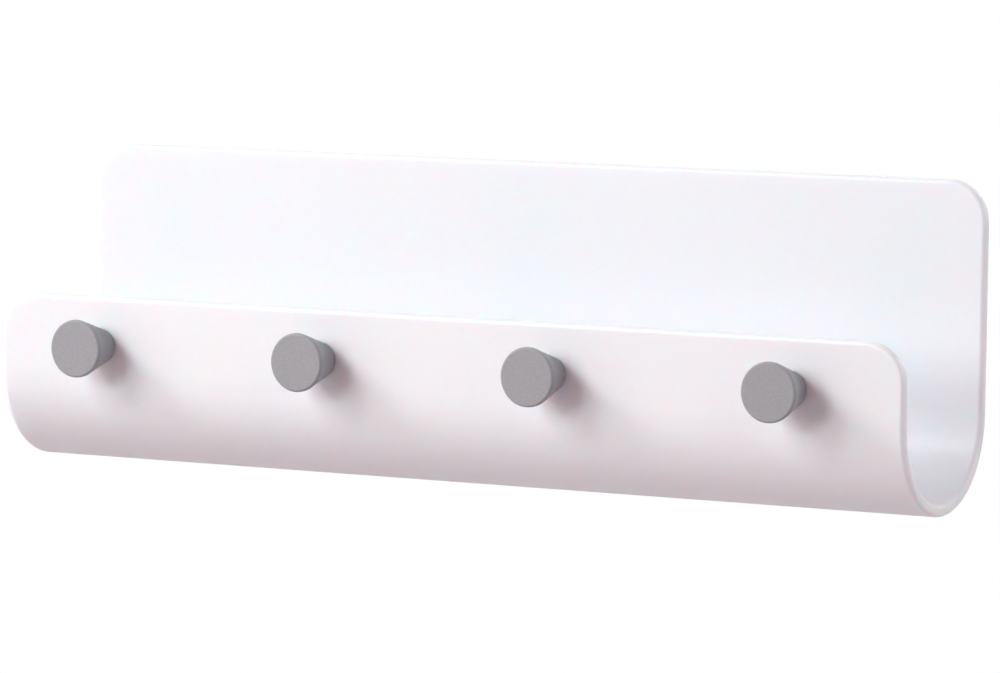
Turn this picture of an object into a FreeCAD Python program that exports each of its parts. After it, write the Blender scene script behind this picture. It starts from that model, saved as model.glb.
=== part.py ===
"""Wall rail: one bent sheet with a half round tray, and four tapered pegs on its front lip.

Millimetres. X runs along the rail, +Y points into the wall and +Z points up. The origin lies on
the wall, at the middle of the centre mounting strip.
"""
import FreeCAD, Part
import math
import os
import Sketcher

# Driving sizes. Each one goes into a cell of the sheet under its own name.
SIZES = {
    # Tray: one sheet, bent through a half circle between the back plate and the lip
    "rail_length": 350,
    "rail_depth": 64,
    "wall": 4,
    "back_flat": 77,
    "lip_flat": 27,
    "corner_radius": 14,
    # Pegs: straight cones that narrow towards the lip
    "peg_count": 4,
    "end_to_peg": 41,
    "peg_above_bend": 10,
    "peg_length": 16,
    "peg_head_diameter": 20,
    "peg_head_land": 1.2,
    "peg_base_diameter": 12,
    "peg_edge_round": 0.8,
    # Threaded bush moulded into each peg
    "insert_length": 8,
    "insert_wall": 1,
    "insert_ring_width": 1.6,
    "insert_mouth_chamfer": 0.3,
    # Button head screw, M4, and its washer
    "thread_diameter": 4,
    "thread_clearance": 0.05,
    "hole_clearance": 0.25,
    "tip_gap": 0.8,
    "tip_chamfer": 0.5,
    "screw_head_diameter": 7.6,
    "screw_head_height": 2.2,
    "screw_head_land": 0.3,
    "socket_across_flats": 2.5,
    "socket_depth": 1.3,
    "socket_rim": 0.35,
    "washer_diameter": 9,
    "washer_thickness": 0.8,
    "washer_clearance": 0.15,
    # Foam strips between the back plate and the wall
    "strip_thickness": 1,
    "strip_width": 25,
    "strip_margin": 6,
    "strip_end_gap": 20,
    "strip_corner_radius": 3,
}

# The rim of the sheet is rounded on both sides, by this share of the wall.
RIM_ROUND_SHARE = 0.375
# The ring cut round the bush takes this share of the bush's wall.
INSERT_RING_SHARE = 0.45

STRIP_NAMES = ("mounting_strip_left", "mounting_strip_centre", "mounting_strip_right")
SOCKET_SIDES = 6

# Sketch constraints number the spots of a line or arc in this order, and count a sketch's own
# axes backwards from its first line.
SPOTS = ("edge", "start", "end", "centre")
AXES = ("first_line", "h_axis", "v_axis")
START = SPOTS.index("start")
END = SPOTS.index("end")
CENTRE = SPOTS.index("centre")
H_AXIS = -AXES.index("h_axis")
V_AXIS = -AXES.index("v_axis")
ORIGIN = (H_AXIS, START)

# Two points closer than this are the same point.
SAME_PLACE = 1e-6


class Length:
    """A size with its number and the cells that it comes from."""

    def __init__(self, value, text):
        self.value = value
        self.text = text

    def join(self, other, sign, value):
        return Length(value, f"({self.text} {sign} {as_length(other).text})")

    def __add__(self, other):
        return self.join(other, "+", self.value + as_length(other).value)

    def __sub__(self, other):
        return self.join(other, "-", self.value - as_length(other).value)

    def __mul__(self, other):
        return self.join(other, "*", self.value * as_length(other).value)

    def __truediv__(self, other):
        return self.join(other, "/", self.value / as_length(other).value)

    def __neg__(self):
        return Length(-self.value, f"(0 - {self.text})")


def as_length(number):
    """A plain number, such as a share or a count, written so that it can join a sum."""
    if isinstance(number, Length):
        return number
    return Length(number, repr(number))


ZERO = as_length(0)


def fill_sheet(doc):
    """Write the driving sizes into the sheet and hand back each one under its name."""
    sheet = doc.addObject("Spreadsheet::Sheet", "Sizes")
    named = {}
    for row, (alias, number) in enumerate(SIZES.items(), start=1):
        sheet.set(f"A{row}", alias)
        sheet.set(f"B{row}", str(number))
        sheet.setAlias(f"B{row}", alias)
        named[alias] = Length(number, f"Sizes.{alias}")
    doc.recompute()
    return named


# Sketches


def new_body(doc, label, place):
    """A body with its own label, placed at three sums of sizes."""
    body = doc.addObject("PartDesign::Body", label)
    body.Label = label
    for axis, length in zip("xyz", place):
        body.setExpression(f"Placement.Base.{axis}", length.text)
    return body


def new_sketch(body, name, role, forward=None):
    """A sketch on one of the body's own planes, moved forward along the plane's normal."""
    plane = [item for item in body.Origin.OriginFeatures if item.Role == role][0]
    sketch = body.newObject("Sketcher::SketchObject", name)
    sketch.AttachmentSupport = [(plane, "")]
    sketch.MapMode = "FlatFace"
    if forward is not None:
        sketch.setExpression("AttachmentOffset.Base.z", forward.text)
    return sketch


def point(spot):
    return FreeCAD.Vector(spot[0].value, spot[1].value, 0)


def place_point(sketch, vertex, along, up):
    """Tie a sketch vertex to its two distances from the sketch origin."""
    for kind, axis, length in (("DistanceX", V_AXIS, along), ("DistanceY", H_AXIS, up)):
        if abs(length.value) < SAME_PLACE:
            sketch.addConstraint(Sketcher.Constraint("PointOnObject", *vertex, axis))
        else:
            constraint = Sketcher.Constraint(kind, *ORIGIN, *vertex, length.value)
            index = sketch.addConstraint(constraint)
            sketch.setExpression(f"Constraints[{index}]", length.text)


def arc_between(first, last, centre):
    """The arc that runs counter-clockwise about the centre from the first point to the last."""
    radius = (point(first) - point(centre)).Length
    circle = Part.Circle(point(centre), FreeCAD.Vector(0, 0, 1), radius)
    return Part.ArcOfCircle(circle, circle.parameter(point(first)), circle.parameter(point(last)))


def draw_outline(sketch, corners, arcs=()):
    """A closed outline through the corners.

    Each arc is (side, centre, clockwise): that side runs round the centre instead of straight.
    """
    ends = {}
    curved = {side: (centre, clockwise) for side, centre, clockwise in arcs}
    for side, (first, last) in enumerate(zip(corners, corners[1:] + corners[:1])):
        centre, clockwise = curved.get(side, (None, False))
        if centre is None:
            sketch.addGeometry(Part.LineSegment(point(first), point(last)), False)
        elif clockwise:
            sketch.addGeometry(arc_between(last, first, centre), False)
        else:
            sketch.addGeometry(arc_between(first, last, centre), False)
        ends[side] = (END, START) if clockwise else (START, END)
    for side, corner in enumerate(corners):
        before = (side - 1) % len(corners)
        joint = Sketcher.Constraint("Coincident", before, ends[before][1], side, ends[side][0])
        sketch.addConstraint(joint)
        place_point(sketch, (side, ends[side][0]), *corner)


def draw_circle(sketch, centre, radius):
    circle = Part.Circle(point(centre), FreeCAD.Vector(0, 0, 1), radius.value)
    side = sketch.addGeometry(circle, False)
    place_point(sketch, (side, CENTRE), *centre)
    index = sketch.addConstraint(Sketcher.Constraint("Radius", side, radius.value))
    sketch.setExpression(f"Constraints[{index}]", radius.text)


# Features


def pad(body, name, sketch, length, side="One side"):
    feature = body.newObject("PartDesign::Pad", name)
    feature.Profile = sketch
    feature.SideType = side
    feature.setExpression("Length", length.text)
    return feature


def revolve(body, name, sketch, kind="PartDesign::Revolution"):
    """Turn a sketch once round its own upright axis."""
    feature = body.newObject(kind, name)
    feature.Profile = sketch
    feature.ReferenceAxis = (sketch, ["V_Axis"])
    feature.Angle = 360
    return feature


def pocket(body, name, sketch, length):
    """Cut along the sketch's normal, and make sure that something was cut."""
    before = body.Shape.Volume
    feature = body.newObject("PartDesign::Pocket", name)
    feature.Profile = sketch
    feature.Reversed = True
    feature.setExpression("Length", length.text)
    must_have_cut(body, name, before)
    return feature


def must_have_cut(body, name, before):
    body.Document.recompute()
    if body.Shape.Volume > before - SAME_PLACE:
        raise RuntimeError(f"{name} cuts nothing from {body.Label}")


def round_edges(body, name, base, wanted, radius):
    """Fillet the edges of the base feature that the test picks out."""
    body.Document.recompute()
    names = [f"Edge{index}" for index, edge in enumerate(base.Shape.Edges, 1) if wanted(edge)]
    if not names:
        raise RuntimeError(f"{name} finds no edge on {body.Label}")
    feature = body.newObject("PartDesign::Fillet", name)
    feature.Base = (base, names)
    feature.setExpression("Radius", radius.text)
    return feature


def edge_ends(edge):
    return edge.Vertexes[0].Point, edge.Vertexes[-1].Point


def runs_along(edge, axis):
    """Whether a straight edge lies along the axis, 0 for X, 1 for Y and 2 for Z."""
    if edge.Curve.TypeId != "Part::GeomLine":
        return False
    first, last = edge_ends(edge)
    return all(abs(first[other] - last[other]) < SAME_PLACE for other in range(3) if other != axis)


# The tray


def build_tray(doc, s, spots):
    """One sheet bent into a J: back plate, half round trough and front lip."""
    bend = s["rail_depth"] / 2
    inner_back = -s["wall"]
    inner_lip = s["wall"] - s["rail_depth"]
    top = bend + s["back_flat"]
    lip_top = bend + s["lip_flat"]
    body = new_body(doc, "tray", (ZERO, -s["strip_thickness"], -spots["lift"]))

    # Section of the sheet, seen along the rail
    section = new_sketch(body, "TraySection", "YZ_Plane")
    centre = (-bend, bend)
    corners = [
        (ZERO, top),
        (ZERO, bend),
        (-s["rail_depth"], bend),
        (-s["rail_depth"], lip_top),
        (inner_lip, lip_top),
        (inner_lip, bend),
        (inner_back, bend),
        (inner_back, top),
    ]
    outer_bend = 1
    inner_bend = 5
    draw_outline(section, corners, [(outer_bend, centre, True), (inner_bend, centre, False)])
    for side in (outer_bend, inner_bend):
        index = section.addConstraint(
            Sketcher.Constraint("DistanceY", *ORIGIN, side, CENTRE, bend.value))
        section.setExpression(f"Constraints[{index}]", bend.text)
    sheet = pad(body, "Sheet", section, s["rail_length"], "Symmetric")

    # Upper corners of the back plate and of the lip
    tops = (top.value, lip_top.value)

    def is_corner(edge):
        height = edge.CenterOfMass.z
        return runs_along(edge, 1) and any(abs(height - level) < SAME_PLACE for level in tops)

    corners_round = round_edges(body, "CornerRound", sheet, is_corner, s["corner_radius"])

    # Rim all round the sheet, on both faces
    def is_rim(edge):
        where_it_bends = abs(edge.CenterOfMass.z - bend.value) < SAME_PLACE
        return not runs_along(edge, 1) and not (runs_along(edge, 0) and where_it_bends)

    rim_round = s["wall"] * RIM_ROUND_SHARE
    round_edges(body, "RimRound", corners_round, is_rim, rim_round)
    doc.recompute()

    # Screw holes through the lip, from inside the trough
    hole = new_sketch(body, "ScrewHole", "XZ_Plane", s["rail_depth"] - s["wall"])
    first_peg = s["end_to_peg"] - s["rail_length"] / 2
    draw_circle(hole, (first_peg, bend + s["peg_above_bend"]), spots["hole_radius"])
    drilled = pocket(body, "ScrewHolePocket", hole, s["wall"])
    row = body.newObject("PartDesign::LinearPattern", "ScrewHoleRow")
    row.Originals = [drilled]
    row.Direction = (hole, ["H_Axis"])
    row.setExpression("Length", (spots["peg_spacing"] * (s["peg_count"] - 1)).text)
    row.setExpression("Occurrences", s["peg_count"].text)
    body.Tip = row
    return body


# The pegs and what clamps them to the lip


def insert_outline(s, inner):
    """Half section of the bush from its inner radius out, with the ring cut round its middle."""
    outer = s["thread_diameter"] / 2 + s["insert_wall"]
    ring = outer - s["insert_wall"] * INSERT_RING_SHARE
    ring_start = (s["insert_length"] - s["insert_ring_width"]) / 2
    ring_end = ring_start + s["insert_ring_width"]
    return [
        (inner, ZERO),
        (outer, ZERO),
        (outer, -ring_start),
        (ring, -ring_start),
        (ring, -ring_end),
        (outer, -ring_end),
        (outer, -s["insert_length"]),
        (inner, -s["insert_length"]),
    ]


def build_peg(doc, s, label, place):
    """A cone that narrows towards the lip, moulded round its bush."""
    body = new_body(doc, label, place)
    head = s["peg_head_diameter"] / 2
    section = new_sketch(body, label + "_section", "XY_Plane")
    draw_outline(section, [
        (ZERO, ZERO),
        (s["peg_base_diameter"] / 2, ZERO),
        (head, s["peg_head_land"] - s["peg_length"]),
        (head, -s["peg_length"]),
        (ZERO, -s["peg_length"]),
    ])
    cone = revolve(body, label + "_cone", section)

    def is_face_edge(edge):
        return abs(edge.CenterOfMass.y + s["peg_length"].value) < SAME_PLACE

    round_edges(body, label + "_edge", cone, is_face_edge, s["peg_edge_round"])
    doc.recompute()
    before = body.Shape.Volume
    seat = new_sketch(body, label + "_seat_section", "XY_Plane")
    draw_outline(seat, insert_outline(s, ZERO))
    revolve(body, label + "_seat", seat, "PartDesign::Groove")
    must_have_cut(body, label + "_seat", before)
    return body


def build_insert(doc, s, label, place):
    """Threaded bush with a ring that the peg's plastic locks into."""
    body = new_body(doc, label, place)
    bore = s["thread_diameter"] / 2 + s["thread_clearance"]
    outline = insert_outline(s, bore)
    mouth = s["insert_mouth_chamfer"]
    outline[0:1] = [(bore, -mouth), (bore + mouth, ZERO)]
    section = new_sketch(body, label + "_section", "XY_Plane")
    draw_outline(section, outline)
    revolve(body, label + "_turned", section)
    return body


def build_screw(doc, s, label, place):
    """Button head screw with a hexagon socket; its head sits in the trough."""
    body = new_body(doc, label, place)
    shank = s["thread_diameter"] / 2
    head = s["screw_head_diameter"] / 2
    height = s["screw_head_height"]
    land = s["screw_head_land"]
    socket_corner = s["socket_across_flats"] / 2 / math.cos(math.pi / SOCKET_SIDES)
    flat = socket_corner + s["socket_rim"]
    length = s["washer_thickness"] + s["wall"] + s["insert_length"] - s["tip_gap"]
    tip = s["tip_chamfer"]
    dome = (flat * flat + height * height - head * head - land * land) / ((height - land) * 2)
    section = new_sketch(body, label + "_section", "XY_Plane")
    dome_side = 6
    draw_outline(section, [
        (ZERO, height),
        (ZERO, -length),
        (shank - tip, -length),
        (shank, tip - length),
        (shank, ZERO),
        (head, ZERO),
        (head, land),
        (flat, height),
    ], [(dome_side, (ZERO, dome), False)])
    section.addConstraint(Sketcher.Constraint("PointOnObject", dome_side, CENTRE, V_AXIS))
    revolve(body, label + "_turned", section)
    doc.recompute()
    socket = new_sketch(body, label + "_socket_outline", "XZ_Plane", -height)
    turns = [2 * math.pi * side / SOCKET_SIDES for side in range(SOCKET_SIDES)]
    draw_outline(socket, [
        (socket_corner * math.cos(turn), socket_corner * math.sin(turn)) for turn in turns
    ])
    pocket(body, label + "_socket", socket, s["socket_depth"])
    return body


def build_washer(doc, s, label, place):
    """Flat ring between the screw's head and the lip."""
    body = new_body(doc, label, place)
    ring = new_sketch(body, label + "_ring", "XZ_Plane", -s["washer_thickness"])
    draw_circle(ring, (ZERO, ZERO), s["washer_diameter"] / 2)
    draw_circle(ring, (ZERO, ZERO), s["thread_diameter"] / 2 + s["washer_clearance"])
    pad(body, label + "_blank", ring, s["washer_thickness"])
    return body


# The mounting strips


def build_strip(doc, s, label, place):
    """Foam strip, sticky on both faces, with rounded corners."""
    body = new_body(doc, label, place)
    across = s["strip_width"] / 2
    up = (s["back_flat"] - s["strip_margin"] * 2) / 2
    outline = new_sketch(body, label + "_outline", "XZ_Plane")
    draw_outline(outline, [(-across, -up), (across, -up), (across, up), (-across, up)])
    blank = pad(body, label + "_blank", outline, s["strip_thickness"])
    round_edges(body, label + "_corners", blank,
                lambda edge: runs_along(edge, 1), s["strip_corner_radius"])
    return body


# The whole rail


def shared_places(s):
    """Places and fits that more than one piece follows."""
    lip_front = -s["strip_thickness"] - s["rail_depth"]
    return {
        # The origin is half way up the flat of the back plate
        "lift": s["rail_depth"] / 2 + s["back_flat"] / 2,
        "peg_spacing": (s["rail_length"] - s["end_to_peg"] * 2) / (s["peg_count"] - 1),
        "peg_level": s["peg_above_bend"] - s["back_flat"] / 2,
        "lip_front": lip_front,
        "lip_inside": lip_front + s["wall"],
        "hole_radius": s["thread_diameter"] / 2 + s["hole_clearance"],
    }


def build_rail(doc):
    s = fill_sheet(doc)
    spots = shared_places(s)
    pieces = [build_tray(doc, s, spots)]
    for index in range(SIZES["peg_count"]):
        across = s["end_to_peg"] - s["rail_length"] / 2 + spots["peg_spacing"] * index
        level = spots["peg_level"]
        number = index + 1
        front = (across, spots["lip_front"], level)
        inside = (across, spots["lip_inside"], level)
        under_head = (across, spots["lip_inside"] + s["washer_thickness"], level)
        pieces.append(build_peg(doc, s, f"peg_{number}", front))
        pieces.append(build_insert(doc, s, f"peg_insert_{number}", front))
        pieces.append(build_washer(doc, s, f"peg_washer_{number}", inside))
        pieces.append(build_screw(doc, s, f"peg_screw_{number}", under_head))
    strip_reach = s["rail_length"] / 2 - s["strip_end_gap"] - s["strip_width"] / 2
    for label, side in zip(STRIP_NAMES, (-1, 0, 1)):
        pieces.append(build_strip(doc, s, label, (strip_reach * side, ZERO, ZERO)))
    doc.recompute()
    return pieces


def check_document(doc, pieces):
    """Stop if any object failed to build or any piece isn't one sound solid."""
    for item in doc.Objects:
        if "Invalid" in item.State or "Error" in item.State:
            raise RuntimeError(f"{item.Label} is {item.State}")
    for body in pieces:
        shape = body.Shape
        if shape.isNull() or not shape.isValid() or len(shape.Solids) != 1:
            raise RuntimeError(f"{body.Label} isn't one sound solid")


def export_pieces(pieces):
    os.makedirs("parts", exist_ok=True)
    for body in pieces:
        body.Shape.exportStep(f"parts/{body.Label}.step")
        print(f"{body.Label}: {body.Shape.Volume:.1f} mm3")


def main():
    doc = FreeCAD.newDocument("WallRail")
    pieces = build_rail(doc)
    check_document(doc, pieces)
    export_pieces(pieces)


main()
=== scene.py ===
"""Looks of a wall rail with a trough: one bent white sheet with four grey pegs on its front lip.

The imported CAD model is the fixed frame, and everything here is in metres in that frame: X runs
along the rail, Y into the wall and Z up, with the origin on the wall, half way up the flat of
the back plate. The sheet and the pegs are the frame's own solids with finishes from here. The
screws, washers and bushes are made again with their threads, rolled edges and knurls, and the
mounting strips with their foam and sticky films.
"""

import logging
import math
from collections.abc import Callable, Sequence
from dataclasses import dataclass, field
from enum import Enum

import bmesh
import bpy
from mathutils import Matrix, Vector, noise


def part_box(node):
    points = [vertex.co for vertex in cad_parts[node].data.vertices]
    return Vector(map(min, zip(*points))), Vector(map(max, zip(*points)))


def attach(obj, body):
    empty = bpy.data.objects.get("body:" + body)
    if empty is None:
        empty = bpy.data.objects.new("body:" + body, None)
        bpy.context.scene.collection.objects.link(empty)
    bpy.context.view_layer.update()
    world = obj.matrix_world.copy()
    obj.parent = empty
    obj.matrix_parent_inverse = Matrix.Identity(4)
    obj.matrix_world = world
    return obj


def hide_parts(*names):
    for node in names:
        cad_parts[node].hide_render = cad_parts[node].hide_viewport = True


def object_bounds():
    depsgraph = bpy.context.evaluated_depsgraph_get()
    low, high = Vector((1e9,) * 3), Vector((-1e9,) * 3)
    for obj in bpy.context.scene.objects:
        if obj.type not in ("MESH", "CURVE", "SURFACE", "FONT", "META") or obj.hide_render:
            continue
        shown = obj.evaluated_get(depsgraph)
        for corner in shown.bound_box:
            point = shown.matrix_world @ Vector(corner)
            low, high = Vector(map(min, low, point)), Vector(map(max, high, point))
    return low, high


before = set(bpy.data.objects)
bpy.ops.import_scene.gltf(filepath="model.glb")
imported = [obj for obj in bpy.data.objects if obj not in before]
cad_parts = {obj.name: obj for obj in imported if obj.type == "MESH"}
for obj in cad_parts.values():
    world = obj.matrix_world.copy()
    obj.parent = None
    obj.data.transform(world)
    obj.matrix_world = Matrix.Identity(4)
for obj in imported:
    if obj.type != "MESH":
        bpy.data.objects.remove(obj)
cad_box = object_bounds()

Pair = tuple[float, float]
Triple = tuple[float, float, float]
RadiusLaw = Callable[[float, float], float]
Socket = bpy.types.NodeSocket

MM = 0.001
FULL_TURN = 2 * math.pi
SHARP_EDGE = math.radians(32)
WHITE = (1.0, 1.0, 1.0, 1.0)
ROOT_BODY = "root"

log = logging.getLogger("wall_rail")


# Named options


class Slot(Enum):
    """The record's material slots."""

    WHITE_SHEET = "white_sheet"
    GREY_PEG = "grey_peg"
    BRASS_INSERT = "brass_insert"
    WASHER_STEEL = "washer_steel"
    SCREW_STEEL = "screw_steel"
    FOAM_STRIP = "foam_strip"


class Effect(Enum):
    """The surface effects that more than one finish uses."""

    SWELL = "slow_swell"
    GRAIN = "fine_grain"
    HANDLING = "handling_marks"
    EDGE_WEAR_AND_HIGHLIGHT = "edge_wear_and_highlight"
    TURNED = "turned_lines"


class Side(Enum):
    """Where a mounting strip sits behind the back plate."""

    LEFT = "left"
    CENTRE = "centre"
    RIGHT = "right"


class Ends(Enum):
    """How a turned skin is closed."""

    CAPPED = "capped"
    LOOPED = "looped"


# Shader trees


class Graph:
    """A shader node tree with a short call for each thing that goes into it."""

    def __init__(self, tree: bpy.types.NodeTree) -> None:
        """Takes over a tree.

        Args:
            tree: The tree that nodes are added to.
        """
        self.tree = tree

    def add(self, kind: str, inputs: dict | None = None, **settings: object) -> bpy.types.Node:
        """Adds a node.

        Args:
            kind: Blender's name for the node's type.
            inputs: A value or another node's output for each input, by the input's name or number.
            **settings: The node's own settings.

        Returns:
            The new node.
        """
        node = self.tree.nodes.new(kind)
        for name, value in settings.items():
            setattr(node, name, value)
        for key, value in (inputs or {}).items():
            if isinstance(value, Socket):
                self.tree.links.new(value, node.inputs[key])
            else:
                node.inputs[key].default_value = value
        return node

    def join(self, output: Socket, target: Socket) -> None:
        """Joins an output to an input."""
        self.tree.links.new(output, target)

    def sum(self, operation: str, *values: Socket | float) -> Socket:
        """Works out a number.

        Args:
            operation: Blender's name for the sum, such as MULTIPLY.
            *values: The sum's terms, in order.

        Returns:
            The output that holds the result.
        """
        node = self.add("ShaderNodeMath", dict(enumerate(values)), operation=operation)
        return node.outputs["Value"]

    def vector(self, operation: str, *values: Socket | Triple) -> bpy.types.Node:
        """Works out a vector sum.

        Args:
            operation: Blender's name for the sum, such as SUBTRACT.
            *values: The sum's terms, in order.

        Returns:
            The node, whose Vector or Value output holds the result.
        """
        return self.add("ShaderNodeVectorMath", dict(enumerate(values)), operation=operation)

    def spread(self, value: Socket, start: float, end: float, low: float, high: float) -> Socket:
        """Spreads a range of a value onto another range, smoothly and clamped at both ends.

        Args:
            value: The value to spread.
            start: Where the range begins.
            end: Where the range ends.
            low: The result at start.
            high: The result at end.

        Returns:
            The output that holds the result.
        """
        limits = {"Value": value, "From Min": start, "From Max": end, "To Min": low, "To Max": high}
        node = self.add("ShaderNodeMapRange", limits, interpolation_type="SMOOTHSTEP")
        return node.outputs["Result"]

    def blend(self, share: Socket, first: Triple | Socket, second: Triple | Socket) -> Socket:
        """Blends two colours.

        Args:
            share: The second colour's share, from 0 to 1.
            first: The colour where the share is 0.
            second: The colour where the share is 1.

        Returns:
            The output that holds the blended colour.
        """
        colours = [c if isinstance(c, Socket) else (*c, 1.0) for c in (first, second)]
        node = self.add("ShaderNodeMix", {"Factor": share}, data_type="RGBA")
        for name, colour in zip(("A_Color", "B_Color"), colours):
            target = next(s for s in node.inputs if s.identifier == name)
            if isinstance(colour, Socket):
                self.join(colour, target)
            else:
                target.default_value = colour
        return next(s for s in node.outputs if s.identifier == "Result_Color")


class SharedEffects:
    """The shader node groups of the shared effects, each made once."""

    pit_shade_range: Pair = (0.08, 0.42)
    patch_range: Pair = (0.3, 0.75)
    edge_range: Pair = (0.72, 0.995)
    gap_range: Pair = (0.4, 0.6)
    least_edge_mark: float = 0.15
    waver_scale: float = 900.0

    def __init__(self) -> None:
        """Makes every group."""
        self.groups = {
            Effect.SWELL: self.make_swell(),
            Effect.GRAIN: self.make_grain(),
            Effect.HANDLING: self.make_handling(),
            Effect.EDGE_WEAR_AND_HIGHLIGHT: self.make_edge_wear_and_highlight(),
            Effect.TURNED: self.make_turned(),
        }

    def place(self, graph: Graph, effect: Effect, inputs: dict) -> bpy.types.Node:
        """Places an effect in a material.

        Args:
            graph: The material's tree.
            effect: Which effect.
            inputs: The group's own values for this material.

        Returns:
            The group's node, with its named outputs.
        """
        return graph.add("ShaderNodeGroup", inputs, node_tree=self.groups[effect])

    @staticmethod
    def open_group(effect: Effect, inputs: dict[str, float], outputs: Sequence[str]) -> tuple:
        """Starts a group whose first input is the place on the surface, in metres.

        Args:
            effect: The effect that the group is for.
            inputs: Each further input's name and usual value.
            outputs: The names of the outputs, all numbers.

        Returns:
            The group, its graph, the node of its inputs and the node of its outputs.
        """
        group = bpy.data.node_groups.new(effect.value, "ShaderNodeTree")
        group.interface.new_socket("Place", in_out="INPUT", socket_type="NodeSocketVector")
        for name, value in inputs.items():
            entry = group.interface.new_socket(name, in_out="INPUT", socket_type="NodeSocketFloat")
            entry.default_value = value
        for name in outputs:
            group.interface.new_socket(name, in_out="OUTPUT", socket_type="NodeSocketFloat")
        graph = Graph(group)
        return group, graph, graph.add("NodeGroupInput"), graph.add("NodeGroupOutput")

    def make_swell(self) -> bpy.types.NodeTree:
        """Makes the slow swells of a poured or moulded skin, as a height in metres.

        Returns:
            The group.
        """
        group, graph, given, made = self.open_group(
            Effect.SWELL, {"Size": 2 * MM, "Depth": 2e-6}, ["Height"])
        scale = graph.sum("DIVIDE", 1.0, given.outputs["Size"])
        waves = graph.add("ShaderNodeTexNoise", {
            "Vector": given.outputs["Place"], "Scale": scale, "Detail": 1.5, "Roughness": 0.4})
        height = graph.sum("MULTIPLY", waves.outputs["Fac"], given.outputs["Depth"])
        graph.join(height, made.inputs["Height"])
        return group

    def make_grain(self) -> bpy.types.NodeTree:
        """Makes a fine pitted grain, as a height in metres and as a mask of its pits, where finishes
        paint shade.

        Returns:
            The group.
        """
        group, graph, given, made = self.open_group(
            Effect.GRAIN, {"Size": 0.3 * MM, "Depth": 4e-6}, ["Height", "Mask"])
        scale = graph.sum("DIVIDE", 1.0, given.outputs["Size"])
        cells = graph.add("ShaderNodeTexVoronoi", {
            "Vector": given.outputs["Place"], "Scale": scale, "Randomness": 1.0}, feature="F1")
        specks = graph.add("ShaderNodeTexNoise", {
            "Vector": given.outputs["Place"], "Scale": scale, "Detail": 3.0, "Roughness": 0.6})
        pits = graph.sum("MULTIPLY", cells.outputs["Distance"], specks.outputs["Fac"])
        graph.join(graph.sum("MULTIPLY", pits, given.outputs["Depth"]), made.inputs["Height"])
        graph.join(graph.spread(pits, *self.pit_shade_range, 1.0, 0.0), made.inputs["Mask"])
        return group

    def make_handling(self) -> bpy.types.NodeTree:
        """Makes the faint patches that hands and cloths leave, as a mask.

        Returns:
            The group.
        """
        group, graph, given, made = self.open_group(Effect.HANDLING, {"Size": 40 * MM}, ["Mask"])
        scale = graph.sum("DIVIDE", 1.0, given.outputs["Size"])
        patches = graph.add("ShaderNodeTexNoise", {
            "Vector": given.outputs["Place"], "Scale": scale, "Detail": 2.0, "Roughness": 0.45})
        mask = graph.spread(patches.outputs["Fac"], *self.patch_range, 0.0, 1.0)
        graph.join(mask, made.inputs["Mask"])
        return group

    def make_edge_wear_and_highlight(self) -> bpy.types.NodeTree:
        """Makes a broken mask of the convex edges, for wear where a piece is rubbed first and for a
        painted highlight along them.

        Returns:
            The group.
        """
        group, graph, given, made = self.open_group(
            Effect.EDGE_WEAR_AND_HIGHLIGHT, {"Width": 0.5 * MM, "Break": 1.5 * MM}, ["Mask"])
        softened = graph.add("ShaderNodeBevel", {"Radius": given.outputs["Width"]}, samples=4)
        plain = graph.add("ShaderNodeNewGeometry")
        facing = graph.vector("DOT_PRODUCT", softened.outputs["Normal"], plain.outputs["Normal"])
        edge = graph.spread(facing.outputs["Value"], *self.edge_range, 1.0, 0.0)
        scale = graph.sum("DIVIDE", 1.0, given.outputs["Break"])
        gaps = graph.add("ShaderNodeTexNoise", {
            "Vector": given.outputs["Place"], "Scale": scale, "Detail": 3.0, "Roughness": 0.6})
        kept = graph.spread(gaps.outputs["Fac"], *self.gap_range, self.least_edge_mark, 1.0)
        graph.join(graph.sum("MULTIPLY", edge, kept), made.inputs["Mask"])
        return group

    def make_turned(self) -> bpy.types.NodeTree:
        """Makes the fine rings that a tool leaves round the Y axis, as a height in metres.

        Returns:
            The group.
        """
        group, graph, given, made = self.open_group(
            Effect.TURNED, {"Pitch": 0.12 * MM, "Depth": 1e-6}, ["Height"])
        flat = graph.vector("MULTIPLY", given.outputs["Place"], (1.0, 0.0, 1.0))
        radius = graph.vector("LENGTH", flat.outputs["Vector"]).outputs["Value"]
        turns = graph.sum("DIVIDE", radius, given.outputs["Pitch"])
        uneven = graph.add("ShaderNodeTexNoise", {
            "Vector": given.outputs["Place"], "Scale": self.waver_scale, "Detail": 2.0})
        phase = graph.sum("ADD", turns, uneven.outputs["Fac"])
        wave = graph.sum("SINE", graph.sum("MULTIPLY", phase, FULL_TURN))
        graph.join(graph.sum("MULTIPLY", wave, given.outputs["Depth"]), made.inputs["Height"])
        return group


# Finishes


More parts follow.
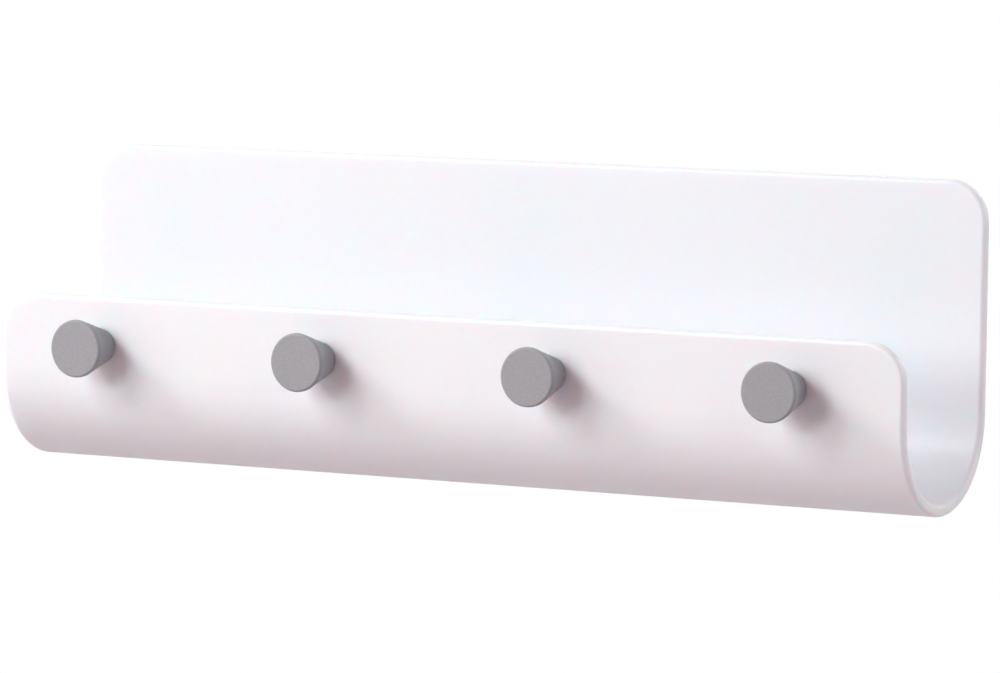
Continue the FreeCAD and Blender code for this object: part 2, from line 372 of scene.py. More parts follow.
@dataclass(frozen=True)
class Finish:
    """What every finish has, and the shader that they all start from."""

    name: str
    slot: Slot
    colour: Triple
    roughness: float
    index: float = 1.49
    metal: float = 0.0

    def start(self) -> tuple[bpy.types.Material, Graph, bpy.types.Node, Socket]:
        """Starts the material with its plain values.

        Returns:
            The material, its graph, its shader and the place on the surface in metres.
        """
        material = bpy.data.materials.new(self.name)
        material.use_nodes = True
        material.node_tree.nodes.clear()
        graph = Graph(material.node_tree)
        shader = graph.add("ShaderNodeBsdfPrincipled", {
            "Base Color": (*self.colour, 1.0), "Roughness": self.roughness,
            "IOR": self.index, "Metallic": self.metal})
        graph.add("ShaderNodeOutputMaterial", {"Surface": shader.outputs["BSDF"]})
        place = graph.add("ShaderNodeTexCoord").outputs["Object"]
        return material, graph, shader, place

    @staticmethod
    def raise_surface(graph: Graph, shader: bpy.types.Node, heights: Sequence[Socket]) -> None:
        """Adds heights in metres together and gives them to the shader as its relief.

        Args:
            graph: The material's tree.
            shader: The material's shader.
            heights: The outputs that hold the heights.
        """
        total = heights[0]
        for height in heights[1:]:
            total = graph.sum("ADD", total, height)
        bump = graph.add("ShaderNodeBump", {"Height": total, "Distance": 1.0, "Strength": 1.0})
        graph.join(bump.outputs["Normal"], shader.inputs["Normal"])


@dataclass(frozen=True)
class OpalSheet(Finish):
    """Glossy white plastic sheet that lets a little light into its wall."""

    name: str = "opal_white_sheet"
    slot: Slot = Slot.WHITE_SHEET
    colour: Triple = (0.864, 0.886, 0.951)
    roughness: float = 0.30
    index: float = 1.36
    handled_colour: Triple = (0.857, 0.879, 0.943)
    edge_highlight_colour: Triple = (0.876, 0.894, 0.956)
    handled_share: float = 0.5
    edge_highlight_share: float = 0.6
    dulling: float = 0.04
    light_depth: float = 3.0 * MM
    light_shares: Triple = (1.0, 0.45, 0.50)

    def material(self, effects: SharedEffects) -> bpy.types.Material:
        """Makes the sheet's material.

        Args:
            effects: The shared effects.

        Returns:
            The material.
        """
        material, graph, shader, place = self.start()
        shader.inputs["Subsurface Weight"].default_value = 1.0
        shader.inputs["Subsurface Scale"].default_value = self.light_depth
        shader.inputs["Subsurface Radius"].default_value = self.light_shares
        handled = effects.place(graph, Effect.HANDLING, {"Place": place, "Size": 55 * MM})
        bright_edges = effects.place(graph, Effect.EDGE_WEAR_AND_HIGHLIGHT, {
            "Place": place, "Width": 0.6 * MM, "Break": 3 * MM})
        swell = effects.place(graph, Effect.SWELL, {"Place": place, "Size": 16 * MM, "Depth": 10e-6})
        skin = effects.place(graph, Effect.SWELL, {"Place": place, "Size": 1.2 * MM, "Depth": 0.5e-6})
        used = graph.sum("MULTIPLY", handled.outputs["Mask"], self.handled_share)
        body = graph.blend(used, self.colour, self.handled_colour)
        # Lighter along the convex edges: a painted highlight on the rims.
        edge = graph.sum("MULTIPLY", bright_edges.outputs["Mask"], self.edge_highlight_share)
        graph.join(graph.blend(edge, body, self.edge_highlight_colour), shader.inputs["Base Color"])
        dullest = self.roughness + self.dulling
        dull = graph.spread(handled.outputs["Mask"], 0.0, 1.0, self.roughness, dullest)
        graph.join(dull, shader.inputs["Roughness"])
        self.raise_surface(graph, shader, [swell.outputs["Height"], skin.outputs["Height"]])
        return material


@dataclass(frozen=True)
class MattPeg(Finish):
    """Matt grey moulded plastic with a spark-eroded grain."""

    name: str = "matt_grey_peg"
    slot: Slot = Slot.GREY_PEG
    colour: Triple = (0.370, 0.361, 0.382)
    roughness: float = 0.56
    index: float = 1.40
    pit_shade_colour: Triple = (0.307, 0.300, 0.318)
    edge_highlight_colour: Triple = (0.424, 0.414, 0.435)
    edge_highlight_share: float = 0.55
    polishing: float = 0.12
    full_polish: float = 1.6
    peg_size: Triple = (20 * MM, 16 * MM, 20 * MM)

    def material(self, effects: SharedEffects) -> bpy.types.Material:
        """Makes the pegs' material.

        Args:
            effects: The shared effects.

        Returns:
            The material.
        """
        material, graph, shader, place = self.start()
        grain = effects.place(graph, Effect.GRAIN, {"Place": place, "Size": 0.34 * MM, "Depth": 16e-6})
        swell = effects.place(graph, Effect.SWELL, {"Place": place, "Size": 5 * MM, "Depth": 10e-6})
        handled = effects.place(graph, Effect.HANDLING, {"Place": place, "Size": 9 * MM})
        bright_edges = effects.place(graph, Effect.EDGE_WEAR_AND_HIGHLIGHT, {
            "Place": place, "Width": 0.7 * MM, "Break": 0.8 * MM})
        across = graph.add("ShaderNodeTexCoord").outputs["Generated"]
        centred = graph.vector("SUBTRACT", across, (0.5, 0.5, 0.5)).outputs["Vector"]
        on_axis = graph.vector("MULTIPLY", centred, self.peg_size).outputs["Vector"]
        rings = effects.place(graph, Effect.TURNED, {
            "Place": on_axis, "Pitch": 0.5 * MM, "Depth": 0.7e-6})
        # Darker in the pits of the grain: painted shade in the recesses.
        pit_shaded = graph.blend(grain.outputs["Mask"], self.colour, self.pit_shade_colour)
        # Lighter along the convex edges: partly rubbing wear, partly a painted highlight on the rim.
        soft = graph.sum("MULTIPLY", bright_edges.outputs["Mask"], self.edge_highlight_share)
        graph.join(graph.blend(soft, pit_shaded, self.edge_highlight_colour), shader.inputs["Base Color"])
        smooth = graph.sum("ADD", handled.outputs["Mask"], bright_edges.outputs["Mask"])
        smoothest = self.roughness - self.polishing
        polish = graph.spread(smooth, 0.0, self.full_polish, self.roughness, smoothest)
        graph.join(polish, shader.inputs["Roughness"])
        self.raise_surface(graph, shader, [
            grain.outputs["Height"], swell.outputs["Height"], rings.outputs["Height"]])
        return material


@dataclass(frozen=True)
class TurnedMetal(Finish):
    """Bright metal from a lathe or press, a little dull where it has been handled."""

    name: str = "turned_metal"
    slot: Slot = Slot.SCREW_STEEL
    colour: Triple = (0.56, 0.565, 0.58)
    roughness: float = 0.26
    metal: float = 1.0
    dull_colour: Triple = (0.42, 0.42, 0.43)
    brightening: float = 1.25
    dulling: float = 0.16
    line_pitch: float = 0.1 * MM

    def material(self, effects: SharedEffects) -> bpy.types.Material:
        """Makes the metal's material.

        Args:
            effects: The shared effects.

        Returns:
            The material.
        """
        material, graph, shader, place = self.start()
        lines = effects.place(graph, Effect.TURNED, {
            "Place": place, "Pitch": self.line_pitch, "Depth": 1.2e-6})
        grain = effects.place(graph, Effect.GRAIN, {"Place": place, "Size": 0.15 * MM, "Depth": 2e-6})
        handled = effects.place(graph, Effect.HANDLING, {"Place": place, "Size": 3 * MM})
        bright_edges = effects.place(graph, Effect.EDGE_WEAR_AND_HIGHLIGHT, {
            "Place": place, "Width": 0.15 * MM, "Break": 0.6 * MM})
        dulled = graph.blend(handled.outputs["Mask"], self.colour, self.dull_colour)
        # Brighter along the convex edges: partly polish from wear, partly a painted highlight.
        bright = tuple(min(1.0, part * self.brightening) for part in self.colour)
        graph.join(graph.blend(bright_edges.outputs["Mask"], dulled, bright), shader.inputs["Base Color"])
        dullest = self.roughness + self.dulling
        worn = graph.spread(handled.outputs["Mask"], 0.0, 1.0, self.roughness, dullest)
        graph.join(worn, shader.inputs["Roughness"])
        self.raise_surface(graph, shader, [lines.outputs["Height"], grain.outputs["Height"]])
        return material


@dataclass(frozen=True)
class ClosedCellFoam(Finish):
    """Off-white foam whose cut sides show their cells."""

    name: str = "closed_cell_foam"
    slot: Slot = Slot.FOAM_STRIP
    colour: Triple = (0.80, 0.795, 0.77)
    roughness: float = 0.85
    cell_shade_colour: Triple = (0.62, 0.61, 0.58)
    cell_size: float = 0.22 * MM
    patch_share: float = 0.3

    def material(self, effects: SharedEffects) -> bpy.types.Material:
        """Makes the foam's material.

        Args:
            effects: The shared effects.

        Returns:
            The material.
        """
        material, graph, shader, place = self.start()
        cells = effects.place(graph, Effect.GRAIN, {
            "Place": place, "Size": self.cell_size, "Depth": 60e-6})
        patches = effects.place(graph, Effect.HANDLING, {"Place": place, "Size": 12 * MM})
        # Darker in the cut cells: painted shade in their hollows, with faint random patches of tone.
        shade = graph.sum("MAXIMUM", cells.outputs["Mask"],
                          graph.sum("MULTIPLY", patches.outputs["Mask"], self.patch_share))
        graph.join(graph.blend(shade, self.colour, self.cell_shade_colour), shader.inputs["Base Color"])
        self.raise_surface(graph, shader, [cells.outputs["Height"]])
        return material


@dataclass(frozen=True)
class StickyFilm(Finish):
    """Thin film of pale adhesive, glossy where it has wetted out and dull where it hasn't."""

    name: str = "sticky_film"
    slot: Slot = Slot.FOAM_STRIP
    colour: Triple = (0.74, 0.735, 0.70)
    roughness: float = 0.38
    dry_colour: Triple = (0.82, 0.815, 0.79)
    dry_roughness: float = 0.7

    def material(self, effects: SharedEffects) -> bpy.types.Material:
        """Makes the film's material.

        Args:
            effects: The shared effects.

        Returns:
            The material.
        """
        material, graph, shader, place = self.start()
        patches = effects.place(graph, Effect.HANDLING, {"Place": place, "Size": 7 * MM})
        swell = effects.place(graph, Effect.SWELL, {"Place": place, "Size": 1.6 * MM, "Depth": 30e-6})
        grain = effects.place(graph, Effect.GRAIN, {"Place": place, "Size": 0.4 * MM, "Depth": 12e-6})
        dry = patches.outputs["Mask"]
        graph.join(graph.blend(dry, self.colour, self.dry_colour), shader.inputs["Base Color"])
        dull = graph.spread(dry, 0.0, 1.0, self.roughness, self.dry_roughness)
        graph.join(dull, shader.inputs["Roughness"])
        self.raise_surface(graph, shader, [swell.outputs["Height"], grain.outputs["Height"]])
        return material


class FinishSet:
    """Every finish of the rail, each made once."""

    def __init__(self, effects: SharedEffects) -> None:
        """Makes the materials.

        Args:
            effects: The shared effects.
        """
        self.sheet = OpalSheet().material(effects)
        self.peg = MattPeg().material(effects)
        self.screw = TurnedMetal(name="zinc_screw").material(effects)
        self.washer = TurnedMetal(
            name="pressed_washer", slot=Slot.WASHER_STEEL, colour=(0.62, 0.625, 0.64),
            roughness=0.32, line_pitch=0.25 * MM).material(effects)
        self.bush = TurnedMetal(
            name="turned_brass", slot=Slot.BRASS_INSERT, colour=(0.80, 0.58, 0.27),
            dull_colour=(0.62, 0.44, 0.22), roughness=0.22).material(effects)
        self.foam = ClosedCellFoam().material(effects)
        self.film = StickyFilm().material(effects)


# Meshes


@dataclass(frozen=True)
class Station:
    """One ring of a turned skin: its place along the axis, and its radius or radius law."""

    along: float
    radius: float | RadiusLaw

    def reach(self, angle: float) -> float:
        """Returns the radius at an angle."""
        return self.radius(angle, self.along) if callable(self.radius) else self.radius


def turned_mesh(name: str, stations: Sequence[Station], segments: int, ends: Ends) -> bpy.types.Mesh:
    """Makes a skin round the local Y axis through a row of rings.

    Args:
        name: The mesh's name.
        stations: The rings, in order along the skin.
        segments: How many points each ring has.
        ends: Whether the skin is capped at both ends or its last ring meets its first.

    Returns:
        The mesh, smooth but for its sharp edges.
    """
    shape = bmesh.new()
    turns = [FULL_TURN * step / segments for step in range(segments)]
    rings = [
        [shape.verts.new((s.reach(a) * math.cos(a), s.along, s.reach(a) * math.sin(a))) for a in turns]
        for s in stations
    ]
    pairs = list(zip(rings, rings[1:]))
    if ends is Ends.LOOPED:
        pairs.append((rings[-1], rings[0]))
    for first, second in pairs:
        for step in range(segments):
            after = (step + 1) % segments
            shape.faces.new((first[step], first[after], second[after], second[step]))
    if ends is Ends.CAPPED:
        for ring, station in ((rings[0], stations[0]), (rings[-1], stations[-1])):
            middle = shape.verts.new((0.0, station.along, 0.0))
            for step in range(segments):
                shape.faces.new((ring[step], ring[(step + 1) % segments], middle))
    bmesh.ops.recalc_face_normals(shape, faces=shape.faces)
    return finished_mesh(name, shape)


def finished_mesh(name: str, shape: bmesh.types.BMesh) -> bpy.types.Mesh:
    """Turns a worked shape into a smooth mesh with sharp edges.

    Args:
        name: The mesh's name.
        shape: The shape, which is freed.

    Returns:
        The mesh.
    """
    mesh = bpy.data.meshes.new(name)
    shape.to_mesh(mesh)
    shape.free()
    mesh.shade_smooth()
    mesh.set_sharp_from_angle(angle=SHARP_EDGE)
    return mesh


def arc(centre: Pair, radius: float, start: float, end: float, steps: int) -> list[Pair]:
    """Points along an arc in the plane of a half section.

    Args:
        centre: The arc's centre, as distance from the axis and place along it.
        radius: The arc's radius.
        start: The angle at its start, from outwards towards along the axis.
        end: The angle at its end.
        steps: How many points to give after the first.

    Returns:
        Pairs of distance from the axis and place along it, both ends included.
    """
    angles = [start + (end - start) * step / steps for step in range(steps + 1)]
    return [(centre[0] + radius * math.cos(a), centre[1] + radius * math.sin(a)) for a in angles]


def rounded_outline(half_width: float, half_height: float, corner: float, steps: int) -> list[Vector]:
    """Outline of a rounded rectangle round the origin.

    Args:
        half_width: Half its size along X.
        half_height: Half its size along Z.
        corner: The corners' radius.
        steps: How many points each corner has after its first.

    Returns:
        The outline's points as X and Z, anticlockwise.
    """
    points = []
    for quarter, (sign_x, sign_z) in enumerate(((1, 1), (-1, 1), (-1, -1), (1, -1))):
        centre = Vector((sign_x * (half_width - corner), sign_z * (half_height - corner)))
        for step in range(steps + 1):
            angle = math.pi / 2 * (quarter + step / steps)
            points.append(centre + corner * Vector((math.cos(angle), math.sin(angle))))
    return points


def add_piece(mesh: bpy.types.Mesh, place: Vector, material: bpy.types.Material,
              stands_for: Sequence[str] = ()) -> bpy.types.Object:
    """Puts a mesh into the scene as a piece of the rail.

    Args:
        mesh: The piece's mesh, whose name the piece takes.
        place: Where its origin goes, in the row frame.
        material: Its finish.
        stands_for: The frame's nodes that it replaces.

    Returns:
        The piece.
    """
    piece = bpy.data.objects.new(mesh.name, mesh)
    bpy.context.scene.collection.objects.link(piece)
    piece.location = place
    mesh.materials.append(material)
    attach(piece, ROOT_BODY)
    if stands_for:
        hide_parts(*stands_for)
    log.info("%s: %d faces", piece.name, len(mesh.polygons))
    return piece


def dress_node(name: str, material: bpy.types.Material) -> None:
    """Gives a node of the frame its finish and leaves its shape alone.

    Args:
        name: The node's name.
        material: The finish.
    """
    for material_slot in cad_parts[name].material_slots:
        material_slot.material = material
    log.info("%s: the frame's own solid", name)


# The fixings behind each peg


@dataclass
class Thread:
    """A metric thread, given as a radius that changes round and along its axis."""

    radius: float = 2 * MM
    pitch: float = 0.7 * MM
    depth: float = 0.38 * MM
    crest_share: float = 0.125
    root_share: float = 0.25
    rings_per_pitch: int = 7

    def height(self, angle: float, along: float) -> float:
        """How far up the thread's flank a place is.

        Args:
            angle: The place's angle round the axis.
            along: Its place along the axis, from the washer.

        Returns:
            From 0 at the root to 1 at the crest.
        """
        turn = -along / self.pitch - angle / FULL_TURN
        from_crest = abs(turn - round(turn)) * 2
        flank = 1 - self.crest_share - self.root_share
        return min(1.0, max(0.0, (1 - self.root_share - from_crest) / flank))

    def stations(self, start: float, end: float, ease: float, spare: float = 0.0) -> list[Station]:
        """Rings of the thread, which fades out at both ends.

        Args:
            start: Where it starts, from the washer.
            end: Where it ends.
            ease: The length over which it fades.
            spare: How much wider it is than the thread that it mates with.

        Returns:
            The rings, from start to end.
        """
        def law(angle: float, along: float) -> float:
            """Radius of the fading thread at a place."""
            share = min(1.0, abs(along - start) / ease, abs(along - end) / ease)
            return self.radius + spare - self.depth * share * (1 - self.height(angle, along))

        count = math.ceil(abs(end - start) / self.pitch * self.rings_per_pitch)
        return [Station(start + (end - start) * step / count, law) for step in range(count + 1)]


@dataclass
class ButtonScrew:
    """Button head screw with a hexagon socket, seen from inside the trough."""

    thread: Thread
    socket_across: float = 2.5 * MM
    socket_depth: float = 1.3 * MM
    socket_cone: float = 0.25 * MM
    socket_point: float = 0.1 * MM
    socket_rim: float = 0.35 * MM
    head_land: float = 0.3 * MM
    crown_steps: int = 9
    edge_break: float = 0.07 * MM
    neck_round: float = 0.12 * MM
    tip_chamfer: float = 0.5 * MM
    tip_centre: float = 0.5
    runout: float = 0.5 * MM
    segments: int = 48

    def hexagon(self, angle: float, along: float) -> float:
        """Radius of the socket's wall at an angle."""
        side = FULL_TURN / 6
        return self.socket_across / 2 / math.cos((angle + side / 2) % side - side / 2)

    def stations(self, head_radius: float, head_height: float, length: float) -> list[Station]:
        """The screw's rings, from the bottom of its socket to its tip.

        Args:
            head_radius: The head's radius.
            head_height: The head's height above the washer.
            length: The length below the washer.

        Returns:
            The rings, with the washer's face at 0 and the tip below it.
        """
        corner = self.socket_across / 2 / math.cos(math.pi / 6)
        flat = corner + self.socket_rim
        floor = head_height - self.socket_depth
        dome = (flat ** 2 + head_height ** 2 - head_radius ** 2 - self.head_land ** 2) / (
            2 * (head_height - self.head_land))
        dome_radius = math.hypot(head_radius, dome - self.head_land)
        rise = math.atan2(head_height - dome, flat)
        fall = math.atan2(self.head_land - dome, head_radius)
        crown = arc((0.0, dome), dome_radius, rise, fall, self.crown_steps)
        tip = self.thread.radius - self.tip_chamfer
        rings = [
            Station(floor - self.socket_cone, self.socket_point),
            Station(floor, self.hexagon),
            Station(head_height - self.edge_break * 2, self.hexagon),
            Station(head_height, corner + self.edge_break),
            *[Station(along, radius) for radius, along in crown],
            Station(self.edge_break, head_radius),
            Station(0.0, head_radius - self.edge_break),
            Station(0.0, self.thread.radius + self.neck_round),
            Station(-self.neck_round, self.thread.radius),
        ]
        rings += self.thread.stations(-self.neck_round * 2, self.tip_chamfer - length, self.runout)
        return rings + [Station(-length, tip), Station(-length, tip * self.tip_centre)]

    def build(self, number: int, finishes: FinishSet) -> None:
        """Makes one screw and puts it where the frame has it.

        Args:
            number: Which peg it holds.
            finishes: The rail's finishes.
        """
        low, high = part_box(f"peg_screw_{number}")
        washer_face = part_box(f"peg_washer_{number}")[1].y
        place = Vector(((low.x + high.x) / 2, washer_face, (low.z + high.z) / 2))
        rings = self.stations((high.x - low.x) / 2, high.y - washer_face, washer_face - low.y)
        mesh = turned_mesh(f"threaded_screw_{number}", rings, self.segments, Ends.CAPPED)
        add_piece(mesh, place, finishes.screw, [f"peg_screw_{number}"])


@dataclass
class PressedWasher:
    """Flat washer with the rolled edge and the small burr that a press leaves."""

    bore: float = 4.3 * MM
    roll: float = 0.22 * MM
    roll_steps: int = 5
    burr: float = 0.04 * MM
    segments: int = 64

    def build(self, number: int, finishes: FinishSet) -> None:
        """Makes one washer and puts it where the frame has it.

        Args:
            number: Which peg it belongs to.
            finishes: The rail's finishes.
        """
        low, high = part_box(f"peg_washer_{number}")
        outer = (high.x - low.x) / 2
        inner = self.bore / 2
        shoulder = high.y - low.y - self.roll
        section = [
            (inner + self.burr, 0.0), (outer - self.burr, 0.0), (outer, self.burr),
            *arc((outer - self.roll, shoulder), self.roll, 0.0, math.pi / 2, self.roll_steps),
            *arc((inner + self.roll, shoulder), self.roll, math.pi / 2, math.pi, self.roll_steps),
            (inner, self.burr),
        ]
        rings = [Station(along, radius) for radius, along in section]
        place = Vector(((low.x + high.x) / 2, low.y, (low.z + high.z) / 2))
        mesh = turned_mesh(f"pressed_washer_{number}", rings, self.segments, Ends.LOOPED)
        add_piece(mesh, place, finishes.washer, [f"peg_washer_{number}"])


@dataclass
class KnurledBush:
    """Brass bush that the peg is moulded round: two knurled bands and a thread inside."""

    thread: Thread
    ring_width: float = 1.6 * MM
    ring_depth: float = 0.45 * MM
    wall: float = 1 * MM
    mouth_chamfer: float = 0.3 * MM
    edge_break: float = 0.1 * MM
    knurl_depth: float = 0.16 * MM
    knurl_teeth: int = 24
    knurl_lead: float = 1.6 * MM
    spare: float = 0.05 * MM
    rings_per_band: int = 10
    segments: int = 96

    def knurl(self, outer: float) -> RadiusLaw:
        """Radius law of a diamond knurl.

        Args:
            outer: The radius over its points.

        Returns:
            The radius at an angle and a place along the bush.
        """
        def tooth(turn: float) -> float:
            """Height of a ridge, from 0 between two ridges to 1 on one."""
            return 1 - 2 * abs(turn - round(turn))

        def law(angle: float, along: float) -> float:
            """Radius of the knurl at a place, where its left and right hand ridges cross."""
            turn, lead = self.knurl_teeth * angle / FULL_TURN, along / self.knurl_lead
            return outer - self.knurl_depth * (1 - max(tooth(turn + lead), tooth(turn - lead)))

        return law

    def band(self, start: float, end: float, outer: float) -> list[Station]:
        """Rings of one knurled band between two plain edges.

        Args:
            start: Where the band starts, from the mouth.
            end: Where it ends.
            outer: The radius over the knurl.

        Returns:
            The band's rings.
        """
        law = self.knurl(outer)
        step = (end - start) / self.rings_per_band
        plain = outer - self.knurl_depth
        inner_rings = [Station(start + step * ring, law) for ring in range(1, self.rings_per_band)]
        return [Station(start, plain), *inner_rings, Station(end, plain)]

    def build(self, number: int, finishes: FinishSet) -> None:
        """Makes one bush and puts it where the frame has it.

        Args:
            number: Which peg it belongs to.
            finishes: The rail's finishes.
        """
        low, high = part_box(f"peg_insert_{number}")
        length = high.y - low.y
        washer_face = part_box(f"peg_washer_{number}")[1].y
        outer = (high.x - low.x) / 2
        bore = outer - self.wall
        groove_start = -(length - self.ring_width) / 2
        groove_end = groove_start - self.ring_width
        down = high.y - washer_face
        thread = self.thread.stations(down - length + self.mouth_chamfer, down - self.mouth_chamfer,
                                      self.thread.pitch, self.spare)
        rings = [
            Station(0.0, bore + self.mouth_chamfer),
            Station(0.0, outer - self.edge_break),
            Station(-self.edge_break, outer),
            *self.band(-self.edge_break * 4, groove_start, outer),
            Station(groove_start, outer - self.ring_depth),
            Station(groove_end, outer - self.ring_depth),
            *self.band(groove_end, self.edge_break * 2 - length, outer),
            Station(-length, outer - self.knurl_depth - self.edge_break),
            Station(-length, bore + self.mouth_chamfer),
            *[self.lowered(station, down) for station in thread],
        ]
        place = Vector(((low.x + high.x) / 2, high.y, (low.z + high.z) / 2))
        mesh = turned_mesh(f"knurled_bush_{number}", rings, self.segments, Ends.LOOPED)
        add_piece(mesh, place, finishes.bush, [f"peg_insert_{number}"])

    @staticmethod
    def lowered(station: Station, down: float) -> Station:
        """Moves a ring of the thread from the washer's measure to the mouth's."""
        return Station(station.along - down, lambda angle, along: station.radius(angle, along + down))


# The sub-assemblies


@dataclass
class BentTray:
    """Back plate, trough and front lip: the frame's one bent sheet."""

    node: str = "tray"

    def build(self, finishes: FinishSet) -> None:
        """Dresses the sheet."""
        dress_node(self.node, finishes.sheet)


@dataclass
class PegWithFixing:
    """One grey peg with the bush, screw and washer that hold it to the lip."""

    number: int
    thread: Thread = field(default_factory=Thread)

    def build(self, finishes: FinishSet) -> None:
        """Dresses the peg and makes its fixings.

        Args:
            finishes: The rail's finishes.
        """
        dress_node(f"peg_{self.number}", finishes.peg)
        KnurledBush(self.thread).build(self.number, finishes)
        ButtonScrew(self.thread).build(self.number, finishes)
        PressedWasher().build(self.number, finishes)


@dataclass
class MountingStrip:
    """Foam strip with a sticky film on each face, behind the back plate."""

    side: Side
    film_thickness: float = 0.06 * MM
    film_inset: float = 0.35 * MM
    corner: float = 3 * MM
    corner_steps: int = 8
    ragged: float = 0.12 * MM
    cut_rows: int = 5
    point_spacing: float = 0.6 * MM
    cell_scale: float = 2600.0
    cell_squash: float = 3.0

    def outline(self, half_width: float, half_height: float, inset: float) -> list[Vector]:
        """The strip's outline with points close enough to show its cut cells.

        Args:
            half_width: Half the strip's width.
            half_height: Half its height.
            inset: How far inside the strip's edge the outline runs.

        Returns:
            Points as X and Z round the strip's centre.
        """
        corners = rounded_outline(
            half_width - inset, half_height - inset, self.corner - inset, self.corner_steps)
        points = []
        for first, second in zip(corners, corners[1:] + corners[:1]):
            steps = max(1, round((second - first).length / self.point_spacing))
            points += [first.lerp(second, step / steps) for step in range(steps)]
        return points

    def skin(self, name: str, rows: Sequence[tuple[float, list[Vector]]]) -> bpy.types.Mesh:
        """Closes a stack of outlines into a solid.

        Args:
            name: The mesh's name.
            rows: Each row's place along Y and its outline.

        Returns:
            The mesh.
        """
        shape = bmesh.new()
        rings = [[shape.verts.new((p.x, along, p.y)) for p in points] for along, points in rows]
        for first, second in zip(rings, rings[1:]):
            for step in range(len(first)):
                after = (step + 1) % len(first)
                shape.faces.new((first[step], first[after], second[after], second[step]))
        shape.faces.new(rings[0])
        shape.faces.new(rings[-1])
        bmesh.ops.recalc_face_normals(shape, faces=shape.faces)
        return finished_mesh(name, shape)

    def cut(self, point: Vector, along: float, depth: float) -> Vector:
        """Moves a point of the outline in to where the blade met a cell.

        Args:
            point: The point as X and Z round the strip's centre.
            along: Its place along Y.
            depth: The deepest cell, as a share of half the strip's width.

        Returns:
            The moved point.
        """
        spot = Vector((point.x, along * self.cell_squash, point.y)) * self.cell_scale
        return point * (1 - depth * (0.5 + 0.5 * noise.noise(spot)))

    def build(self, finishes: FinishSet) -> None:
        """Makes the foam and its two films where the frame has the strip.

        Args:
            finishes: The rail's finishes.
        """
        node = f"mounting_strip_{self.side.value}"
        low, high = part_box(node)
        centre = (low + high) / 2
        half = (high - low) / 2
        foam_half = half.y - self.film_thickness
        edge = self.outline(half.x, half.z, 0.0)
        last = self.cut_rows - 1
        rows = []
        for row in range(self.cut_rows):
            along = foam_half * (2 * row / last - 1)
            depth = self.ragged / half.x if 0 < row < last else 0.0
            rows.append((along, [self.cut(point, along, depth) for point in edge]))
        foam = self.skin(f"strip_foam_{self.side.value}", rows)
        add_piece(foam, centre, finishes.foam, [node])
        film_edge = self.outline(half.x, half.z, self.film_inset)
        for face, start in (("wall", half.y - self.film_thickness), ("plate", -half.y)):
            film_rows = [(start, film_edge), (start + self.film_thickness, film_edge)]
            film = self.skin(f"strip_film_{face}_{self.side.value}", film_rows)
            add_piece(film, centre, finishes.film)


# The studio


@dataclass(frozen=True)
class Softbox:
    """A round studio lamp that points at the rail."""

    name: str
    azimuth: float
    elevation: float
    level: float
    size: float = 0.9
    distance: float = 1.6

    def build(self, target: Vector) -> None:
        """Hangs the lamp.

        Args:
            target: The point that it is aimed at. At level 1 it lights a white card there fully.
        """
        lamp = bpy.data.lights.new(self.name, "AREA")
        lamp.shape = "DISK"
        lamp.size = self.size
        lamp.energy = self.level * (math.pi * self.distance) ** 2
        turn, lift = math.radians(self.azimuth), math.radians(self.elevation)
        level_part = math.cos(lift)
        away = Vector((math.sin(turn) * level_part, -math.cos(turn) * level_part, math.sin(lift)))
        holder = bpy.data.objects.new(self.name, lamp)
        bpy.context.scene.collection.objects.link(holder)
        holder.location = target + away * self.distance
        holder.rotation_mode = "QUATERNION"
        holder.rotation_quaternion = away.to_track_quat("Z", "Y")


@dataclass(frozen=True)
class PhotoCamera:
    """The camera at the photograph's angle."""

    place: Triple = (0.98874, -1.77097, 0.14054)
    yaw: float = -29.450
    pitch: float = -4.596
    roll: float = 0.818
    lens: float = 211.78
    sensor: float = 36.0
    clip_end: float = 60.0

    def build(self) -> None:
        """Puts the camera in place and makes it the scene's own."""
        yaw, pitch, roll = (math.radians(turn) for turn in (self.yaw, self.pitch, self.roll))
        level_part = math.cos(pitch)
        ahead = Vector((math.sin(yaw) * level_part, math.cos(yaw) * level_part, math.sin(pitch)))
        level = Vector((math.cos(yaw), -math.sin(yaw), 0.0))
        upright = level.cross(ahead)
        right = math.cos(roll) * level + math.sin(roll) * upright
        up = math.cos(roll) * upright - math.sin(roll) * level
        data = bpy.data.cameras.new("photo_camera")
        data.lens = self.lens
        data.sensor_width = self.sensor
        data.clip_end = self.clip_end
        camera = bpy.data.objects.new("photo_camera", data)
        bpy.context.scene.collection.objects.link(camera)
        turned = Matrix((right, up, -ahead)).transposed().to_4x4()
        camera.matrix_world = Matrix.Translation(self.place) @ turned
        bpy.context.scene.camera = camera


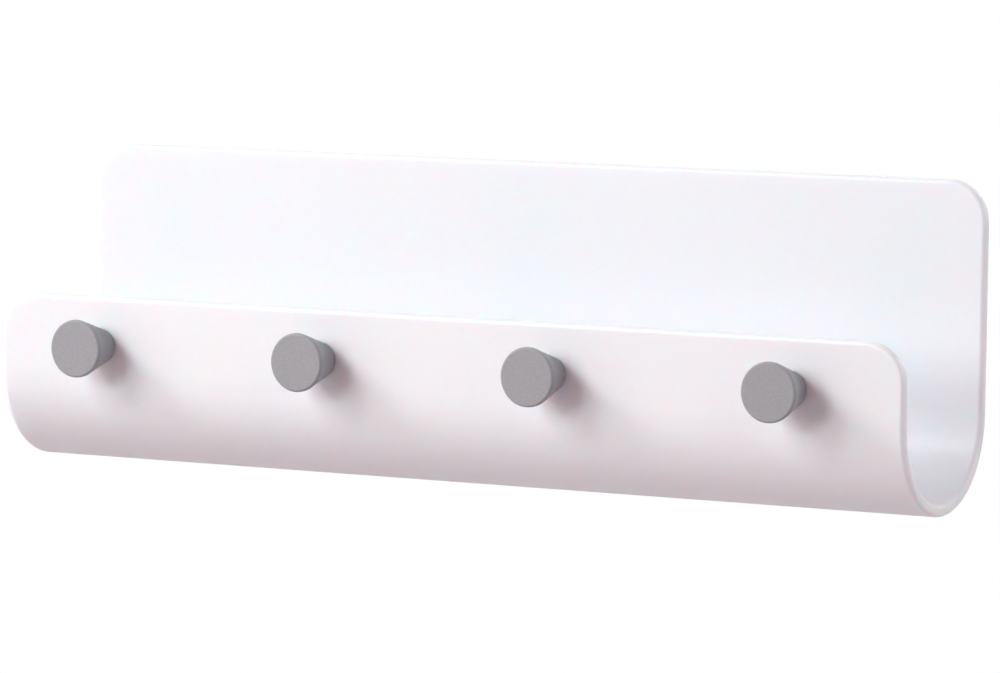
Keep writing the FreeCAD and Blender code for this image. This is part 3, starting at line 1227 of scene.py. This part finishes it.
@dataclass
class Studio:
    """Plain pale room: a floor well below the rail, a white background and soft lamps."""

    floor_drop: float = 0.28
    floor_size: float = 14.0
    floor_cells: int = 8
    floor_colour: Triple = (0.86, 0.85, 0.855)
    floor_bounce: Triple = (0.58, 0.50, 0.52)
    floor_fade: Pair = (0.75, 1.35)
    room_level: float = 2.25
    window_side: Triple = (-1.0, -0.5, 0.0)
    window_falloff: float = 6.0
    lamps: Sequence[Softbox] = (
        Softbox("front_lamp", -12.0, 14.0, 0.21, size=0.5),
        Softbox("high_lamp", -28.0, 35.0, 0.25, size=0.5),
        Softbox("left_lamp", -60.0, 35.0, 0.46, size=0.5),
        Softbox("fill_lamp", 60.0, 20.0, 0.09),
        Softbox("right_lamp", 110.0, 20.0, 0.35, size=0.5),
        Softbox("back_lamp", 165.0, 35.0, 0.27, size=1.2),
    )

    def build_floor(self, lowest: float) -> None:
        """Lays the floor, which keeps the rail's shadow and turns white further out.

        It looks pale but throws less light back up, and from below it is clear.

        Args:
            lowest: The height of the rail's lowest point.
        """
        shape = bmesh.new()
        bmesh.ops.create_grid(
            shape, x_segments=self.floor_cells, y_segments=self.floor_cells, size=self.floor_size / 2)
        mesh = bpy.data.meshes.new("studio_floor")
        shape.to_mesh(mesh)
        shape.free()
        floor = bpy.data.objects.new("studio_floor", mesh)
        floor.location.z = lowest - self.floor_drop
        bpy.context.scene.collection.objects.link(floor)
        material = bpy.data.materials.new("studio_floor")
        material.use_nodes = True
        material.node_tree.nodes.clear()
        graph = Graph(material.node_tree)
        seen = self.seen_directly(graph)
        tone = graph.blend(seen, self.floor_bounce, self.floor_colour)
        paint = graph.add("ShaderNodeBsdfDiffuse", {"Color": tone})
        white = graph.add("ShaderNodeEmission", {"Color": WHITE, "Strength": 1.0})
        place = graph.add("ShaderNodeTexCoord").outputs["Object"]
        reach = graph.vector("LENGTH", place).outputs["Value"]
        far = graph.spread(reach, *self.floor_fade, 0.0, 1.0)
        shown = graph.sum("MULTIPLY", far, seen)
        both = graph.add("ShaderNodeMixShader", {0: shown, 1: paint.outputs[0], 2: white.outputs[0]})
        below = graph.add("ShaderNodeNewGeometry").outputs["Backfacing"]
        clear = graph.add("ShaderNodeBsdfTransparent")
        top_only = graph.add("ShaderNodeMixShader", {0: below, 1: both.outputs[0], 2: clear.outputs[0]})
        graph.add("ShaderNodeOutputMaterial", {"Surface": top_only.outputs[0]})
        mesh.materials.append(material)

    @staticmethod
    def seen_directly(graph: Graph) -> Socket:
        """Tells what the camera sees from what only throws light.

        Args:
            graph: The tree that asks.

        Returns:
            The output that is 1 for a straight look, a reflection or a look through glass, else 0.
        """
        path = graph.add("ShaderNodeLightPath").outputs
        straight = graph.sum("MAXIMUM", path["Is Camera Ray"], path["Is Glossy Ray"])
        return graph.sum("MAXIMUM", straight, path["Is Transmission Ray"])

    def build_room(self) -> None:
        """Makes the room's soft light, strongest from its window side, and its white background."""
        world = bpy.data.worlds.new("studio_room")
        world.use_nodes = True
        world.node_tree.nodes.clear()
        graph = Graph(world.node_tree)
        direction = graph.add("ShaderNodeTexCoord").outputs["Generated"]
        window = Vector(self.window_side).normalized()
        towards = graph.vector("DOT_PRODUCT", direction, tuple(window)).outputs["Value"]
        share = graph.sum("MULTIPLY_ADD", towards, 0.5, 0.5)
        level = graph.sum("MULTIPLY", graph.sum("POWER", share, self.window_falloff), self.room_level)
        light = graph.add("ShaderNodeBackground", {"Strength": level})
        white = graph.add("ShaderNodeBackground", {"Color": WHITE, "Strength": 1.0})
        shown = self.seen_directly(graph)
        both = graph.add("ShaderNodeMixShader", {0: shown, 1: light.outputs[0], 2: white.outputs[0]})
        graph.add("ShaderNodeOutputWorld", {"Surface": both.outputs[0]})
        bpy.context.scene.world = world

    def build(self) -> None:
        """Sets up the floor, the room, the lamps, the camera and the plain view."""
        low, high = cad_box
        self.build_floor(low.z)
        self.build_room()
        for lamp in self.lamps:
            lamp.build((low + high) / 2)
        PhotoCamera().build()
        bpy.context.scene.view_settings.view_transform = "Standard"


def main() -> None:
    """Builds the rail's looks in order, then the studio round it."""
    logging.basicConfig(level=logging.INFO, format="%(message)s")
    finishes = FinishSet(SharedEffects())
    BentTray().build(finishes)
    peg_count = sum(name.startswith("peg_screw_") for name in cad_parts)
    for number in range(1, peg_count + 1):
        PegWithFixing(number).build(finishes)
    for side in Side:
        MountingStrip(side).build(finishes)
    Studio().build()


if __name__ == "__main__":
    main()
